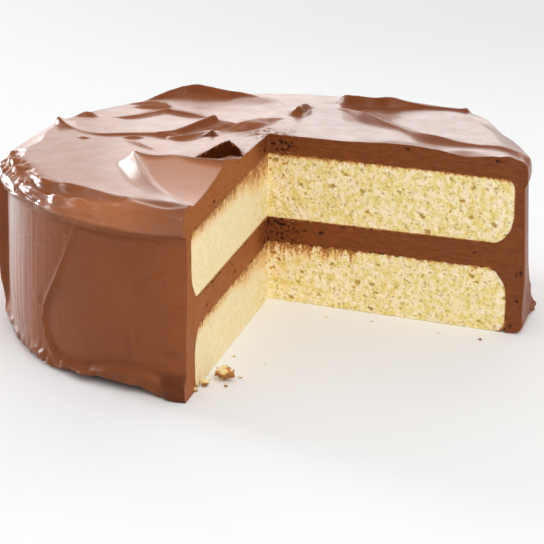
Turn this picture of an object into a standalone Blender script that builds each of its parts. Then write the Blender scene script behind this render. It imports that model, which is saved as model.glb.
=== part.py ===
"""A two-layer cake with a quarter cut out of it: two sponge layers, the filling between them,
and one coat of soft frosting over the top and the side, swirled with the back of a spoon.

Lengths are in millimetres and become metres in place(). +Z is up, the cake stands on z = 0,
and the open quarter lies between -Y and +X.
"""

import math

import bmesh
import bpy
import numpy as np

METRES = 0.001

# The whole cake
SIDE_RADIUS = 118.5
TOP_LEVEL = 79.5

# The cut: two upright faces that meet at the tip
TIP = (-2.6, 11.6)
RIGHT_CUT = math.radians(-7.3)
LEFT_CUT = math.radians(272.9)

# The sponge layers sit a little off the middle, so the coat is thicker on the left
SPONGE_RADIUS = 111.5
UPPER_CENTRE = (2.4, 1.4)
LOWER_CENTRE = (0.6, 4.0)
UPPER_TOP_LEVEL = 69.3
FILLING_TOP_LEVEL = 39.6
FILLING_BOTTOM_LEVEL = 28.4
LEVEL_LEAN = (0.009, 0.020)
CLEARANCE = 0.3

# The domed edge that each layer turns to the filling, and the small radius at its other edge,
# as steps in from the layer's side and away from its face
DOMED_EDGE = ((11.0, 0.0), (4.5, 3.4), (1.0, 9.5), (0.0, 14.0))
PAN_EDGE = ((5.0, 0.0), (1.4, 1.6), (0.0, 6.0))

# The coat's outer shape
LIP_TUCK = 2.0
LIP_LOW_LEVEL = 68.0
WALL = (
    (66.0, -0.7), (54.0, -0.2), (40.0, 0.4), (24.0, 0.9), (16.0, 0.8), (9.0, 0.6), (3.0, 0.9),
    (0.0, -0.6),
)

# How far the top has rounded down where it reaches the side, and the radius at which it starts
# to, by degrees round
EDGE_DROPS = (
    (-8, 0.8, 108), (3, 2.0, 105), (18, 6.5, 104), (32, 6.5, 105), (44, 1.5, 108), (54, 0.8, 108),
    (90, 3.5, 104), (130, 5.0, 104), (168, 6.0, 104), (182, 8.5, 103), (197, 9.5, 101),
    (207, 6.0, 106), (217, 3.5, 108), (226, 3.2, 108), (250, 3.4, 109), (274, 3.6, 109),
)

# How finely the shapes are cut into faces
COAT_COLUMNS = 98
SPONGE_COLUMNS = 42
TOP_ROWS = 23
CURVE_STEPS = 6

# Each stroke of the spoon leaves a crest. It runs through points of x, y and height. On the
# left of its path it drops over the face's width, past the old level by a share of its height,
# and the hollow below eases back up. On its right it eases down over the back's width.
#   path, face width, back width, hollow width, share dug out
BACK_SWIRL = (
    ((-1, 48, 0.8), (-7, 60, 1.3), (-18, 78, 1.8), (-29, 84, 2.4), (-40, 85, 3.5), (-51, 84, 4.9),
     (-60, 84, 6.6), (-67, 84, 6.9), (-73, 81, 6.2), (-79, 74, 3.4), (-84, 64, 0.5)),
    9.0, 12.0, 26.0, 0.0,
)
BACK_KNOB = (((-1, 77, 0.3), (-2, 72, 2.4), (-2, 65, 3.8), (-2, 58, 4.2), (-4, 52, 0.3)), 5.0, 6.0, 9.0, 0.2)
RIGHT_BACK_CREST = (
    ((80, 87, 2.4), (76, 88, 2.6), (68, 87, 1.7), (58, 88, 2.0), (52, 88, 2.8), (45, 87, 4.2),
     (38, 84, 6.4), (31, 84, 5.7), (24, 83, 6.2), (18, 84, 6.2), (13, 89, 3.4)),
    8.5, 10.0, 22.0, 0.0,
)
RIGHT_CREST = (
    ((119, -2, 1.8), (115, 7, 1.8), (109, 13, 1.4), (94, 17, 1.0), (84, 18.5, 1.5), (76, 22, 2.3),
     (70, 25, 2.4), (64, 29, 2.0), (51, 42, 1.3), (43, 49, 1.8), (36, 56, 2.5), (30, 61, 2.5),
     (22, 69, 1.2), (15, 75, 0.3)),
    7.0, 9.0, 16.0, 0.2,
)
TIP_WEDGE = (
    ((-35, 34, 0.3), (-36, 30, 3.4), (-38, 23, 3.3), (-40, 17, 2.9), (-43, 6, 2.0), (-46, 0, 1.3),
     (-50, -3, 0.5)),
    7.0, 7.0, 14.0, 0.3,
)
LONG_CREST = (
    ((-41, 0, 0.3), (-47, -3, 1.2), (-63, -8, 0.9), (-74, -12, 0.8), (-83, -10, 0.7), (-92, -4, 0.8),
     (-98, 0, 1.6), (-104, 6, 3.1), (-107, 13, 1.0)),
    6.5, 8.0, 12.0, 0.2,
)
THIN_CREST = (
    ((-42, 38, 0.4), (-50, 41, 1.2), (-58, 44, 1.3), (-65, 47, 1.3), (-73, 52, 1.4), (-84, 49, 0.3)),
    4.5, 6.0, 9.0, 0.2,
)
TIP_CREST = (
    ((-7, 45, 0.4), (-11, 39, 1.4), (-14, 32, 2.4), (-17, 25, 2.8), (-20, 20, 2.6), (-23, 15, 0.8)),
    5.0, 5.0, 9.0, 0.2,
)
CURL = (((-20, 21, 0.4), (-24, 21, 2.4), (-28, 19, 2.6), (-31, 14, 0.4)), 3.5, 4.5, 6.0, 0.2)
TORN_FLAP = (
    ((-2, -29, 0.3), (-5, -25, 2.6), (-8, -24, 4.2), (-10, -25, 4.8), (-12, -28, 4.4), (-14, -32, 3.4),
     (-19, -41, 0.4)),
    6.0, 9.0, 9.0, 0.4,
)
PLATEAU_EDGE = (
    ((-27, -110, 0.1), (-36, -106, 0.4), (-46, -101, 0.6), (-56, -97, 0.8), (-64, -93.5, 0.9),
     (-71, -88, 0.8), (-77, -81, 0.3)),
    4.0, 5.0, 12.0, 1.4,
)
CREST_ROUNDING = 1.4
STROKES = (
    BACK_SWIRL, BACK_KNOB, RIGHT_BACK_CREST, RIGHT_CREST, TIP_WEDGE, LONG_CREST, THIN_CREST,
    TIP_CREST, CURL, TORN_FLAP, PLATEAU_EDGE,
)

# The big scoop at the left cut: its crest runs through points of x, y and level, with the
# hollow on the left of the path. The hollow slopes from the back crest to the rim.
FRONT_SCOOP = (
    (8, -61, 84.8), (-2, -60, 84.8), (-13, -58, 84.5), (-22, -55, 84.3), (-31, -58, 84.0),
    (-42, -56, 84.8), (-36, -68, 83.8), (-26, -84, 82.0), (-15, -97, 80.2), (-4, -106, 78.9),
    (8, -113, 78.0),
)
SCOOP_BACK_Y = -57.0
SCOOP_BACK_LEVEL = 84.2
SCOOP_SLOPE = 0.27
SCOOP_CURVE = 0.0024
SCOOP_INNER_WIDTH = 6.5
SCOOP_OUTER_WIDTH = 8.0
SCOOP_FADE_BY_CUT = 24.0

SPONGE_COLOUR = (0.79, 0.58, 0.26, 1.0)
FROSTING_COLOUR = (0.21, 0.075, 0.035, 1.0)


# ---------------------------------------------------------------- the frosting's top


def curve_through(points):
    """A smooth line (Catmull-Rom) through the points, CURVE_STEPS to a span."""
    points = np.array(points, float)
    ends = np.vstack([2 * points[0] - points[1], points, 2 * points[-1] - points[-2]])
    t = np.arange(CURVE_STEPS)[:, None] / CURVE_STEPS
    line = [
        0.5 * (2 * b + (c - a) * t + (2 * a - 5 * b + 4 * c - d) * t**2
               + (3 * b - a - 3 * c + d) * t**3)
        for a, b, c, d in zip(ends, ends[1:], ends[2:], ends[3:])
    ]
    return np.vstack(line + [points[-1:]])


def nearest_on(line, x, y):
    """For each x, y: the distance to the line, how far to its left it lies from -1 to 1, and
    the line's third value there."""
    start, step = line[:-1], np.diff(line, axis=0)
    dx, dy = x[:, None] - start[:, 0], y[:, None] - start[:, 1]
    length2 = step[:, 0] ** 2 + step[:, 1] ** 2
    t = np.clip((dx * step[:, 0] + dy * step[:, 1]) / length2, 0, 1)
    away_x, away_y = dx - t * step[:, 0], dy - t * step[:, 1]
    apart = np.hypot(away_x, away_y)
    pick = np.argmin(apart, axis=1)
    rows = np.arange(len(x))
    distance = apart[rows, pick]
    cross = step[pick, 0] * away_y[rows, pick] - step[pick, 1] * away_x[rows, pick]
    side = cross / (np.sqrt(length2[pick]) * np.maximum(distance, 1e-6))
    value = start[pick, 2] + t[rows, pick] * step[pick, 2]
    return distance, side, value


def ease(t):
    """From 0 to 1 with level ends."""
    t = np.clip(t, 0, 1)
    return t * t * (3 - 2 * t)


def near(value, middle, width):
    """1 at the middle, falling smoothly to nothing about two widths away."""
    return np.exp(-(((value - middle) / width) ** 2))


def stroke_height(x, y, path, face, back, hollow, dug):
    """How far one stroke raises or lowers the frosting."""
    distance, side, crest = nearest_on(curve_through(path), x, y)
    distance = np.maximum(distance - CREST_ROUNDING, 0)
    falling = np.clip(1 - distance / face, 0, 1) ** 1.25
    apron = 1 - ease((distance - face) / (hollow - face))
    steep = crest * ((1 + dug) * falling - dug * apron)
    gentle = crest * np.clip(1 - distance / back, 0, 1) ** 1.7
    left = 0.5 + 0.5 * side
    return left * steep + (1 - left) * gentle


def with_front_scoop(x, y, level):
    """Sinks the big scoop into the frosting and raises its crest, which fades slowly behind it
    near the cut."""
    distance, side, crest = nearest_on(curve_through(FRONT_SCOOP), x, y)
    down = np.clip(SCOOP_BACK_Y - y, 0, None)
    floor = SCOOP_BACK_LEVEL - SCOOP_SLOPE * down + SCOOP_CURVE * down**2
    inside = floor + (crest - floor) * np.clip(1 - distance / SCOOP_INNER_WIDTH, 0, 1) ** 2
    by_cut = near(x, 4, 9) * (y > -70)
    width = SCOOP_OUTER_WIDTH + SCOOP_FADE_BY_CUT * by_cut
    outside = level + (crest - level) * np.clip(1 - distance / width, 0, 1) ** (1.7 - 0.6 * by_cut)
    return np.where(side > 0, inside, outside)


def top_level(x, y):
    """The height of the frosting's top at each x, y."""
    degrees, drops, starts = np.array(EDGE_DROPS, float).T
    here = np.degrees(np.arctan2(y, x))
    here = np.where(here < -45, here + 360, here)
    start = np.interp(here, degrees, starts)
    out = np.clip((np.hypot(x, y) - start) / (SIDE_RADIUS - start), 0, 1.3)
    level = TOP_LEVEL + 0.3 * np.sin(x / 23 + 1) * np.sin(y / 19)
    level = level - np.interp(here, degrees, drops) * out**1.3
    for stroke in STROKES:
        level = level + stroke_height(x, y, *stroke)
    return with_front_scoop(x, y, level)


# ---------------------------------------------------------------- sections through the cake


def reach_to_circle(angle, radius, centre=(0.0, 0.0)):
    """How far a circle's edge lies from the cut's tip in this direction."""
    off_x, off_y = TIP[0] - centre[0], TIP[1] - centre[1]
    along = off_x * math.cos(angle) + off_y * math.sin(angle)
    return -along + math.sqrt(along**2 + radius**2 - off_x**2 - off_y**2)


def leaning(level, angle, reach):
    """The layers lean a little: this is a level of theirs at one place."""
    x = TIP[0] + reach * math.cos(angle)
    y = TIP[1] + reach * math.sin(angle)
    return level + LEVEL_LEAN[0] * x + LEVEL_LEAN[1] * y


def layer_edge(steps, level, away, side, angle):
    """A layer's rounded edge, from its face out to its side. away is 1 upwards, -1 downwards."""
    return [(side - inwards, leaning(level, angle, side) + away * along)
            for inwards, along in steps]


def upper_side(angle):
    return reach_to_circle(angle, SPONGE_RADIUS, UPPER_CENTRE)


def lower_side(angle):
    return reach_to_circle(angle, SPONGE_RADIUS, LOWER_CENTRE)


def lower_layer_section(angle):
    side = lower_side(angle)
    top = FILLING_BOTTOM_LEVEL - CLEARANCE
    return (
        [(0, 0)]
        + [(side - inwards, along) for inwards, along in PAN_EDGE]
        + layer_edge(DOMED_EDGE, top, -1, side, angle)[::-1]
        + [(0, leaning(top, angle, 0))]
    )


def upper_layer_section(angle):
    side = upper_side(angle)
    bottom = FILLING_TOP_LEVEL + CLEARANCE
    return (
        [(0, leaning(bottom, angle, 0))]
        + layer_edge(DOMED_EDGE, bottom, 1, side, angle)
        + layer_edge(PAN_EDGE, UPPER_TOP_LEVEL, -1, side, angle)[::-1]
        + [(0, leaning(UPPER_TOP_LEVEL, angle, 0))]
    )


def filling_section(angle):
    """The filling widens between the layers' domed edges and meets the coat there."""
    below = layer_edge(DOMED_EDGE[:3], FILLING_BOTTOM_LEVEL, -1, lower_side(angle), angle)
    above = layer_edge(DOMED_EDGE[:3], FILLING_TOP_LEVEL, 1, upper_side(angle), angle)
    return (
        [(0, leaning(FILLING_BOTTOM_LEVEL, angle, 0))]
        + below
        + above[::-1]
        + [(0, leaning(FILLING_TOP_LEVEL, angle, 0))]
    )


def coat_inside(angle):
    """The coat's inner outline, from the foot up to the tip, clear of the layers and filling."""
    lower = layer_edge(DOMED_EDGE[2:], FILLING_BOTTOM_LEVEL, -1, lower_side(angle), angle)
    upper = layer_edge(DOMED_EDGE[2:], FILLING_TOP_LEVEL, 1, upper_side(angle), angle)
    rim = layer_edge(PAN_EDGE, UPPER_TOP_LEVEL, -1, upper_side(angle), angle)
    outline = [(lower_side(angle), 0)] + lower[::-1] + upper + rim[::-1]
    clear = [(reach + CLEARANCE, level + (CLEARANCE if level > TOP_LEVEL / 2 else 0))
             for reach, level in outline]
    clear[1] = (clear[1][0], clear[1][1] - CLEARANCE)
    return clear + [(0, leaning(UPPER_TOP_LEVEL, angle, 0) + CLEARANCE)]


def wall_swell(angle, level):
    """How far the side stands out past its radius, at this angle round the cake's middle: a
    ragged foot by the right cut, and a foot at the left cut below an edge that the knife drew
    in."""
    from_left_cut = math.degrees(LEFT_CUT - angle)
    ragged = 3.0 * near(math.degrees(angle), 7, 3.4) * near(level, 16, 7)
    drawn_in = -3.0 * near(from_left_cut, 0, 3) * near(level, 50, 22)
    foot = 3.0 * near(from_left_cut, 0, 4) * near(level, 6, 9)
    waves = 0.7 * math.sin(11 * angle) * near(level, 0, 8)
    return ragged + drawn_in + foot + waves


def coat_section(angle):
    """Over the top from the tip, round the lip, down the side and back along the inside."""
    side = reach_to_circle(angle, SIDE_RADIUS)
    lip = 1.1 + 1.5 * math.cos(angle - math.radians(245))
    reaches = np.linspace(0, side + lip - LIP_TUCK, TOP_ROWS)
    levels = top_level(TIP[0] + reaches * math.cos(angle), TIP[1] + reaches * math.sin(angle))
    rim = levels[-1]
    low = min(LIP_LOW_LEVEL + 0.8 * math.sin(5 * angle), rim - 6)
    lip_points = [
        (side + lip, rim - 1.8),
        (side + lip, low + 1.8),
        (side + 0.4 * lip, low),
    ]
    around = math.atan2(TIP[1] + side * math.sin(angle), TIP[0] + side * math.cos(angle))
    around += 2 * math.pi * (around < RIGHT_CUT - 0.2)
    wall = [(side + out + wall_swell(around, level), level) for level, out in WALL]
    return list(zip(reaches, levels)) + lip_points + wall + coat_inside(angle)


# ---------------------------------------------------------------- solids


def place(angle, reach, level):
    """A point of a section, in metres."""
    return (
        (TIP[0] + reach * math.cos(angle)) * METRES,
        (TIP[1] + reach * math.sin(angle)) * METRES,
        level * METRES,
    )


def loft_round_the_cut(name, section_at, columns, material, collection):
    """One solid through closed sections, from the right cut face round to the left one. All
    sections share the edge that stands on the cut's tip."""
    bm = bmesh.new()
    rings = []
    for i in range(columns + 1):
        angle = RIGHT_CUT + (LEFT_CUT - RIGHT_CUT) * i / columns
        rings.append([bm.verts.new(place(angle, *point)) for point in section_at(angle)])
    for ring, after in zip(rings, rings[1:]):
        for k in range(len(ring)):
            n = (k + 1) % len(ring)
            bm.faces.new((ring[k], ring[n], after[n], after[k]))
    bm.faces.new(rings[0][::-1])
    bm.faces.new(rings[-1])
    bmesh.ops.remove_doubles(bm, verts=bm.verts, dist=1e-6)
    bmesh.ops.recalc_face_normals(bm, faces=bm.faces)
    mesh = bpy.data.meshes.new(name)
    bm.to_mesh(mesh)
    bm.free()
    mesh.shade_smooth()
    mesh.set_sharp_from_angle(angle=math.radians(40))
    mesh.materials.append(material)
    solid = bpy.data.objects.new(name, mesh)
    collection.objects.link(solid)
    return solid


def principled(name, colour, roughness):
    material = bpy.data.materials.new(name)
    material.use_nodes = True
    shader = material.node_tree.nodes["Principled BSDF"]
    shader.inputs["Base Color"].default_value = colour
    shader.inputs["Roughness"].default_value = roughness
    shader.inputs["Metallic"].default_value = 0.0
    return material


for old in list(bpy.data.objects):
    bpy.data.objects.remove(old)

cake = bpy.data.collections.new("layer_cake")
bpy.context.scene.collection.children.link(cake)

loft_round_the_cut(
    "lower_layer", lower_layer_section, SPONGE_COLUMNS,
    principled("lower_sponge", SPONGE_COLOUR, 0.9), cake,
)
loft_round_the_cut(
    "filling", filling_section, SPONGE_COLUMNS,
    principled("filling_frosting", FROSTING_COLOUR, 0.5), cake,
)
loft_round_the_cut(
    "upper_layer", upper_layer_section, SPONGE_COLUMNS,
    principled("upper_sponge", SPONGE_COLOUR, 0.9), cake,
)
loft_round_the_cut(
    "frosting", coat_section, COAT_COLUMNS,
    principled("coat_frosting", FROSTING_COLOUR, 0.4), cake,
)
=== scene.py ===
"""A two-layer butter cake under chocolate frosting, with a quarter cut out of it.

Lengths are in millimetres until a mesh is made, and MM turns them into metres. The cake stands
on z = 0 with its middle on the Z axis, and the open quarter lies between -Y and +X.
"""

import itertools
import math

import bmesh
import bpy
import numpy as np
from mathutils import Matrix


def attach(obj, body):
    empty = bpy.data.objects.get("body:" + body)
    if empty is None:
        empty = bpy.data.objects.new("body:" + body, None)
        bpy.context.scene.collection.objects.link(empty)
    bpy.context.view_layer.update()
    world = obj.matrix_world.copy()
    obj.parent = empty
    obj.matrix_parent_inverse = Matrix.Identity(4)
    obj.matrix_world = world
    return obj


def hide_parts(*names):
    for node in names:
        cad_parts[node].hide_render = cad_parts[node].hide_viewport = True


MM = 0.001
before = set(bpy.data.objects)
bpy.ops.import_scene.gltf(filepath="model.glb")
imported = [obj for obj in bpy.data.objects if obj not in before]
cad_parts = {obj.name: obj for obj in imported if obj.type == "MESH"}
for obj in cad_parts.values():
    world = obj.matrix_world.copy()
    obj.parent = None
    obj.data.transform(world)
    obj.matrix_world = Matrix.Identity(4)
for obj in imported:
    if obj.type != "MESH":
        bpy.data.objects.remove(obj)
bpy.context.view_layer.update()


# ---------------------------------------------------------------- table, camera and light
# A pale table by a wide, low window. The window is behind the cake, so the frosting's top shows
# its sheen, and white boards to the left and in front fill the shadows.

EYE_AWAY = 683
EYE_LEVEL = 237.5
EYE_ROUND = math.radians(17.3)
EYE_DOWN = math.radians(17.9)
EYE_PAN = math.radians(0.22)
EYE_LENS = 102.57

camera = bpy.data.objects.new("camera", bpy.data.cameras.new("camera"))
camera.data.lens = EYE_LENS
camera.data.sensor_width = 36
camera.location = (
    EYE_AWAY * math.sin(EYE_ROUND) * MM,
    -EYE_AWAY * math.cos(EYE_ROUND) * MM,
    EYE_LEVEL * MM,
)
camera.rotation_euler = (math.pi / 2 - EYE_DOWN, 0, EYE_ROUND - EYE_PAN)
bpy.context.scene.collection.objects.link(camera)
bpy.context.scene.camera = camera
bpy.context.scene.view_settings.view_transform = "Standard"


def board(name, round_about, level, away, size, brightness, colour=(1, 1, 1), beam=180):
    """A lit board that faces the cake, seen from it at these two angles in degrees. Its
    brightness is against that of white paper in full light, and its beam is this wide."""
    light = bpy.data.lights.new(name, "AREA")
    light.shape = "RECTANGLE"
    light.spread = math.radians(beam)
    light.size, light.size_y = size
    light.energy = brightness * math.pi * size[0] * size[1]
    light.color = colour
    lamp = bpy.data.objects.new(name, light)
    turn, rise = math.radians(round_about), math.radians(level)
    lamp.location = (
        away * math.cos(turn) * math.cos(rise),
        away * math.sin(turn) * math.cos(rise),
        away * math.sin(rise) + 0.05,
    )
    lamp.rotation_euler = (math.pi / 2 - rise, 0, turn + math.pi / 2)
    bpy.context.scene.collection.objects.link(lamp)


board("window", 97, 27, 5.6, (5.5, 4.3), 1.1, (1.0, 0.98, 0.95))
board("bright_pane", 95.5, 16, 5.1, (3.3, 1.4), 1.68, (0.92, 0.95, 0.98))
board("left_window", 158, 5, 2.2, (1.0, 0.5), 2.1, (0.84, 0.92, 1.0), beam=30)
board("left_pane", 131, 14, 2.2, (0.5, 0.4), 12.0, (0.93, 0.96, 1.0))
board("front_fill", -50, 42, 2.4, (2.6, 1.8), 2.75)

world = bpy.data.worlds.new("room")
world.use_nodes = True
world.node_tree.nodes["Background"].inputs["Color"].default_value = (1.0, 0.99, 0.98, 1)
world.node_tree.nodes["Background"].inputs["Strength"].default_value = 0.53
bpy.context.scene.world = world

TABLE_HALF = 6.0
table_mesh = bpy.data.meshes.new("table")
table_mesh.from_pydata(
    [(-TABLE_HALF, -TABLE_HALF, 0), (TABLE_HALF, -TABLE_HALF, 0),
     (TABLE_HALF, TABLE_HALF, 0), (-TABLE_HALF, TABLE_HALF, 0)],
    [], [(0, 1, 2, 3)],
)
table_paint = bpy.data.materials.new("table_paint")
table_paint.use_nodes = True
paint = table_paint.node_tree.nodes["Principled BSDF"]
far_back = table_paint.node_tree.nodes.new("ShaderNodeTexCoord")
along_table = table_paint.node_tree.nodes.new("ShaderNodeSeparateXYZ")
# The table's paint is darker towards the back: painted shade that evens out the window's light, which falls
# hardest on the far table.
table_painted_shade = table_paint.node_tree.nodes.new("ShaderNodeMapRange")
table_painted_shade.inputs["From Min"].default_value = -0.1
table_painted_shade.inputs["From Max"].default_value = 0.7
table_painted_shade.inputs["To Min"].default_value = 0.87
table_painted_shade.inputs["To Max"].default_value = 0.83
table_paint.node_tree.links.new(far_back.outputs["Object"], along_table.inputs["Vector"])
table_paint.node_tree.links.new(along_table.outputs["Y"], table_painted_shade.inputs["Value"])
table_paint.node_tree.links.new(table_painted_shade.outputs["Result"], paint.inputs["Base Color"])
paint.inputs["Roughness"].default_value = 0.7
paint.inputs["Specular IOR Level"].default_value = 0.0
table_mesh.materials.append(table_paint)
table = bpy.data.objects.new("table", table_mesh)
bpy.context.scene.collection.objects.link(table)


# ---------------------------------------------------------------- lower layer
# The bottom sponge layer, a pale butter cake. It was baked in a round pan and turned over, so
# its domed side faces the filling. The knife left it open at both cut faces, full of pores.

TIP = (-2.6, 11.6)
RIGHT_CUT = math.radians(-7.3)
LEFT_CUT = math.radians(272.9)
SPONGE_RADIUS = 111.5
LOWER_CENTRE = (0.6, 4.0)
FILLING_BOTTOM_LEVEL = 28.4
LEVEL_LEAN = (0.009, 0.020)
DOME_IN, DOME_UP = 11.0, 14.0
PAN_IN, PAN_UP = 5.0, 6.0

CRUMB_COLUMNS = 330
CRUMB_ROWS = 84
HIDDEN_COLUMNS = 28
HIDDEN_STEP = 6
UNDER_FROSTING = 0.9
BEHIND_FROSTING = 0.25


def ease(t):
    """From 0 to 1 with level ends."""
    t = np.clip(t, 0, 1)
    return t * t * (3 - 2 * t)


def lumps(seed, size, *along):
    """Smooth unevenness from about -1 to 1, in lumps of about this size."""
    slopes = np.random.default_rng(seed).normal(size=(32,) * len(along) + (len(along),))
    scaled = [np.asarray(a) / size for a in along]
    cell = [np.floor(s).astype(int) for s in scaled]
    part = [s - c for s, c in zip(scaled, cell)]
    soft = [p**3 * (p * (6 * p - 15) + 10) for p in part]
    total = 0.0
    for corner in itertools.product((0, 1), repeat=len(along)):
        slope = slopes[tuple((c + k) % 32 for c, k in zip(cell, corner))]
        share = 1.0
        rise = 0.0
        for axis, k in enumerate(corner):
            share = share * (soft[axis] if k else 1 - soft[axis])
            rise = rise + slope[..., axis] * (part[axis] - k)
        total = total + share * rise
    return total


def holes(seed, spacing, radius, share, x, y):
    """The depth of a scatter of round holes, one in each square of the spacing at most."""
    rng = np.random.default_rng(seed)
    place = rng.uniform(0.1, 0.9, (64, 64, 2))
    size = rng.uniform(*radius, (64, 64)) * (rng.random((64, 64)) < share)
    column, row = np.floor(x / spacing).astype(int), np.floor(y / spacing).astype(int)
    deepest = np.zeros(np.shape(x))
    for c, r in itertools.product((-1, 0, 1), repeat=2):
        pick = (column + c) % 64, (row + r) % 64
        away_x = x - (column + c + place[pick][..., 0]) * spacing
        away_y = y - (row + r + place[pick][..., 1]) * spacing
        deepest = np.maximum(deepest, size[pick] ** 2 - away_x**2 - away_y**2)
    return np.sqrt(deepest)


def reach_to_circle(angle, radius, centre=(0.0, 0.0)):
    """How far a circle's edge lies from the cut's tip in this direction."""
    off_x, off_y = TIP[0] - centre[0], TIP[1] - centre[1]
    along = off_x * np.cos(angle) + off_y * np.sin(angle)
    return -along + np.sqrt(along**2 + radius**2 - off_x**2 - off_y**2)


def leaning(level, angle, reach):
    """The layers lean a little: this is a level of theirs at one place."""
    x = TIP[0] + reach * np.cos(angle)
    y = TIP[1] + reach * np.sin(angle)
    return level + LEVEL_LEAN[0] * x + LEVEL_LEAN[1] * y


def place(angle, reach, level, inward=0.0, side=0):
    """Points in the upright plane that leaves the tip at this angle, moved inward from it where
    it is a cut face: side is 1 at the right cut and -1 at the left one."""
    x = TIP[0] + reach * np.cos(angle) - side * inward * np.sin(angle)
    y = TIP[1] + reach * np.sin(angle) + side * inward * np.cos(angle)
    return np.stack(np.broadcast_arrays(x, y, level), -1)


class Dough:
    """Points and faces gathered for one piece, in millimetres."""

    def __init__(self):
        self.points, self.faces, self.kinds, self.marks = [], [], [], {}
        self.count = 0

    def add(self, points, **marks):
        """Takes in an array of points and gives back their numbers in the same layout."""
        flat = np.reshape(points, (-1, 3))
        numbers = np.arange(self.count, self.count + len(flat))
        self.points.append(flat)
        for name, value in marks.items():
            self.marks.setdefault(name, []).append((numbers, np.ravel(value)))
        self.count += len(flat)
        return numbers.reshape(np.shape(points)[:-1])

    def sheet(self, numbers, kind=0):
        """Faces between the neighbours in a grid of point numbers."""
        corners = (numbers[:-1, :-1], numbers[:-1, 1:], numbers[1:, 1:], numbers[1:, :-1])
        self.strip(np.stack(corners, -1).reshape(-1, 4).tolist(), kind)

    def join(self, coarse, fine, kind=0):
        """Faces between a coarse row of points and a finer one, a whole number of times finer."""
        step = (len(fine) - 1) // (len(coarse) - 1)
        self.strip(
            [(coarse[i], coarse[i + 1], *fine[i * step : (i + 1) * step + 1][::-1])
             for i in range(len(coarse) - 1)],
            kind,
        )

    def strip(self, faces, kind):
        self.faces += faces
        self.kinds += [kind] * len(faces)

    def baked(self, name, materials):
        """The piece itself: one closed skin with its faces turned outward."""
        mesh = bpy.data.meshes.new(name)
        mesh.from_pydata((np.concatenate(self.points) * MM).tolist(), [], self.faces)
        mesh.polygons.foreach_set("material_index", self.kinds)
        for mark, parts in self.marks.items():
            values = np.zeros(self.count, np.float32)
            for numbers, value in parts:
                values[numbers] = value
            mesh.attributes.new(mark, "FLOAT", "POINT").data.foreach_set("value", values)
        bm = bmesh.new()
        bm.from_mesh(mesh)
        bmesh.ops.remove_doubles(bm, verts=bm.verts, dist=1e-6)
        bmesh.ops.recalc_face_normals(bm, faces=bm.faces)
        bm.to_mesh(mesh)
        bm.free()
        mesh.shade_smooth()
        for material in materials:
            mesh.materials.append(material)
        piece = bpy.data.objects.new(name, mesh)
        bpy.context.scene.collection.objects.link(piece)
        return piece


def layer_piece(name, outline_at, relief, columns, rows, materials):
    """A piece that runs round inside the coat from one cut to the other. outline_at gives the
    reach and level at shares of the way out and up, and relief what the knife left."""
    dough = Dough()
    out, up = np.meshgrid(np.linspace(0, 1, columns + 1), np.linspace(0, 1, rows + 1))
    rims = []
    for angle, side in ((RIGHT_CUT, 1), (LEFT_CUT, -1)):
        reach, level = outline_at(angle, out, up)
        inward, marks = relief(side, reach, level, out, up)
        face = dough.add(place(angle, reach, level, inward * ease(reach / 1.5), side), **marks)
        dough.sheet(face)
        rims.append(np.concatenate(
            [face[0, :-1], face[:-1, -1], face[-1, :0:-1], face[:0:-1, 0], face[:1, 0]]))
    ring_out = np.concatenate([out[0, :-1], out[:-1, -1], out[-1, :0:-1], out[:0:-1, 0], [0]])
    ring_up = np.concatenate([up[0, :-1], up[:-1, -1], up[-1, :0:-1], up[:0:-1, 0], [0]])
    coarse = slice(None, None, HIDDEN_STEP)
    angles = np.linspace(RIGHT_CUT, LEFT_CUT, HIDDEN_COLUMNS + 1)[1:-1, None]
    reach, level = outline_at(angles, ring_out[None, coarse], ring_up[None, coarse])
    hidden = dough.add(place(angles, reach, level))
    dough.sheet(hidden)
    dough.join(hidden[0], rims[0])
    dough.join(hidden[-1], rims[1])
    return dough.baked(name, materials)


def dome_up(inset):
    """How far the domed face falls away from its flat at this distance in from the side."""
    return DOME_UP * (1 - np.sqrt(1 - np.clip(1 - inset / DOME_IN, 0, 1) ** 2))


def edge_inset(from_dome, from_pan):
    """How far in the layer's side stands, at these heights from its domed and its pan face."""
    dome = DOME_IN * (1 - np.sqrt(1 - np.clip(1 - from_dome / DOME_UP, 0, 1) ** 2))
    pan = PAN_IN * (1 - np.sqrt(1 - np.clip(1 - from_pan / PAN_UP, 0, 1) ** 2))
    return dome + pan


def lower_side(angle):
    return reach_to_circle(angle, SPONGE_RADIUS, LOWER_CENTRE)


def lower_outline(angle, out, up):
    side = lower_side(angle)
    thick = leaning(FILLING_BOTTOM_LEVEL, angle, side)
    reach = out * (side + UNDER_FROSTING - edge_inset(thick * (1 - up), thick * up))
    return reach, up * leaning(FILLING_BOTTOM_LEVEL + UNDER_FROSTING, angle, reach)


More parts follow.
